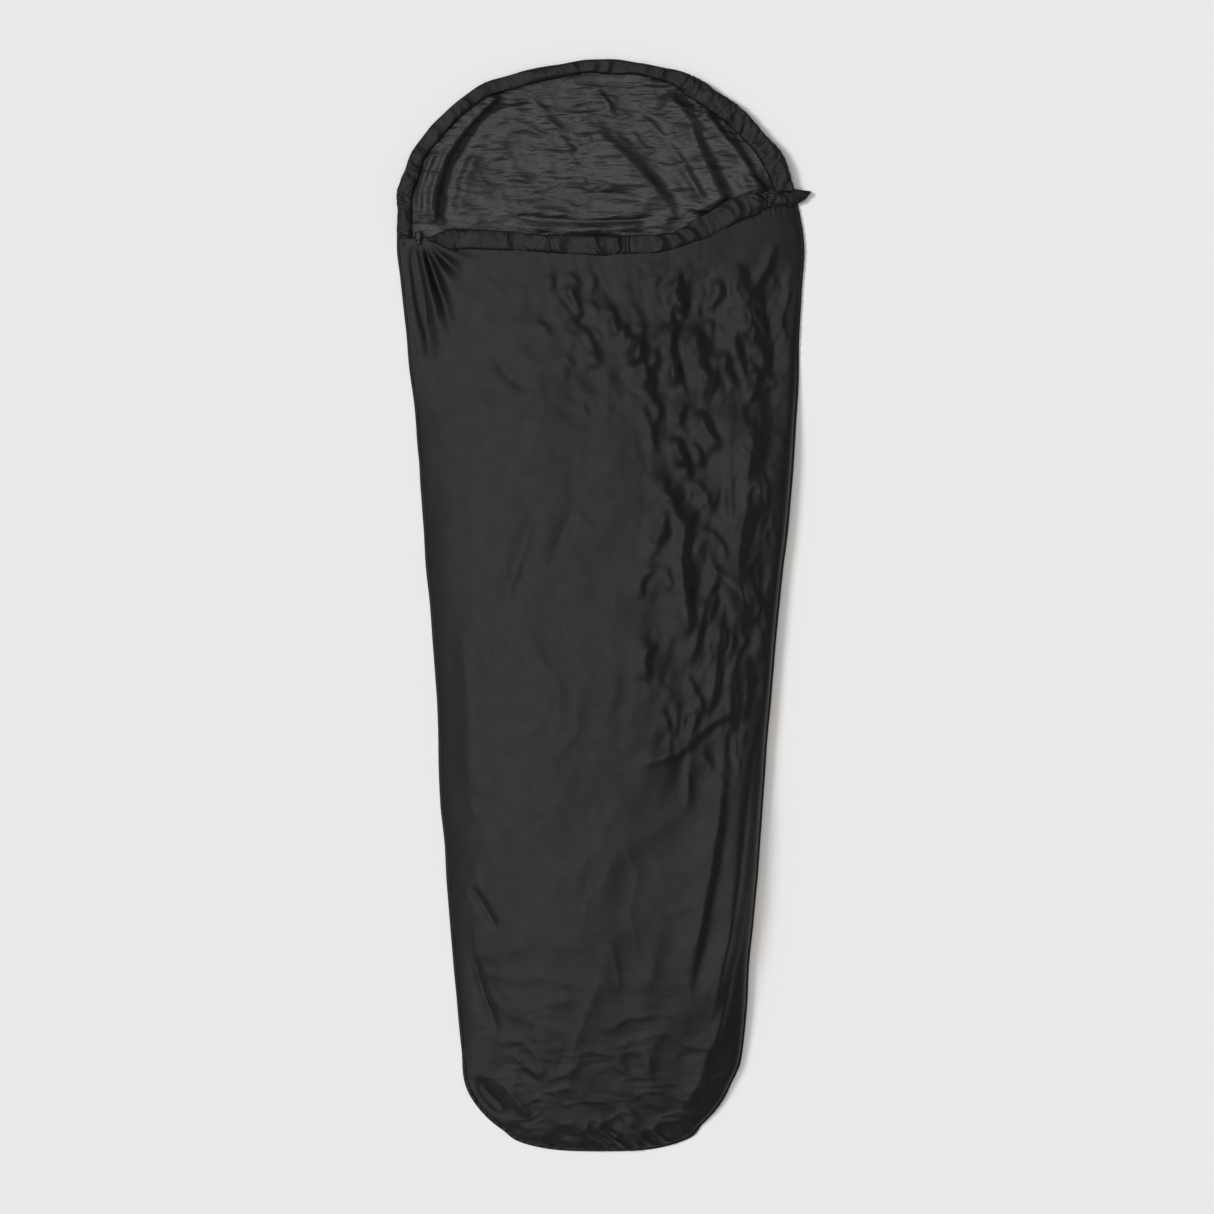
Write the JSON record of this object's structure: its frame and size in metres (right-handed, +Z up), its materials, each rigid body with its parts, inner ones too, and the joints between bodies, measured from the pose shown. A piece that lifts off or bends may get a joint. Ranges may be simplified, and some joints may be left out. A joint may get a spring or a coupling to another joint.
{
  "type": "bivy sack",
  "caption": "Mummy-shaped drawcord bivy sack lying open, with a fold-up hood, taped floor and top panels, hem tunnels and a sprung cord lock.",
  "frame": {"origin": "on the ground, under the middle of the sack's box", "axes": "+Z up, +Y towards the crown of the hood, +X towards the side opposite the cord lock"},
  "size_m": [0.8397, 2.2, 0.0643],
  "materials": {
    "outer_fabric": "black woven face fabric with a low sheen",
    "coated_fabric": "black woven fabric with a dark grey coated inside",
    "hem_fabric": "black woven fabric, gathered and stitched",
    "seam_tape": "translucent grey welded tape",
    "cord": "black braided cord",
    "thread": "dense black stitching",
    "lock_plastic": "black moulded plastic, slightly glossy",
    "button_plastic": "black moulded plastic, slightly glossy",
    "spring_steel": "bright spring wire"
  },
  "bodies": {
    "sack": {"floor_panel": "coated_fabric", "top_panel": "outer_fabric", "side_seam_left": "hem_fabric", "side_seam_right": "hem_fabric", "foot_seam": "hem_fabric", "seam_tape_left": "seam_tape", "seam_tape_right": "seam_tape", "seam_tape_foot": "seam_tape", "neck_seam_tape": "seam_tape", "chest_hem": "hem_fabric", "chest_drawcord": "cord", "chest_bar_tack_left": "thread", "chest_bar_tack_right": "thread", "corner_tab": "hem_fabric", "drawcord_tail": "cord", "cord_end_knot": "cord"},
    "hood": {"hood_panel": "coated_fabric", "hood_hem": "hem_fabric", "hood_drawcord": "cord", "hood_bar_tack_left": "thread", "hood_bar_tack_right": "thread"},
    "cord_lock": {"cord_lock_body": "lock_plastic", "cord_lock_spring": "spring_steel"},
    "lock_plunger": {"cord_lock_plunger": "button_plastic"}
  },
  "joints": [
    {"name": "hood_fold", "type": "hinge", "parent": "sack", "child": "hood", "pos_m": [0.005, 0.801, 0.012], "axis": [0.9934, 0.1151, 0], "range_deg": [0, 120]},
    {"name": "cord_lock_slide", "type": "slide", "parent": "sack", "child": "cord_lock", "axis": [-1, 0, 0], "range_m": [-0.005, 0.006]},
    {"name": "plunger_press", "type": "slide", "parent": "cord_lock", "child": "lock_plunger", "axis": [0, 1, 0], "range_m": [0, 0.0034], "stiffness_N_per_m": 300, "springref_m": -0.002, "deforming": ["cord_lock_spring"]}
  ]
}
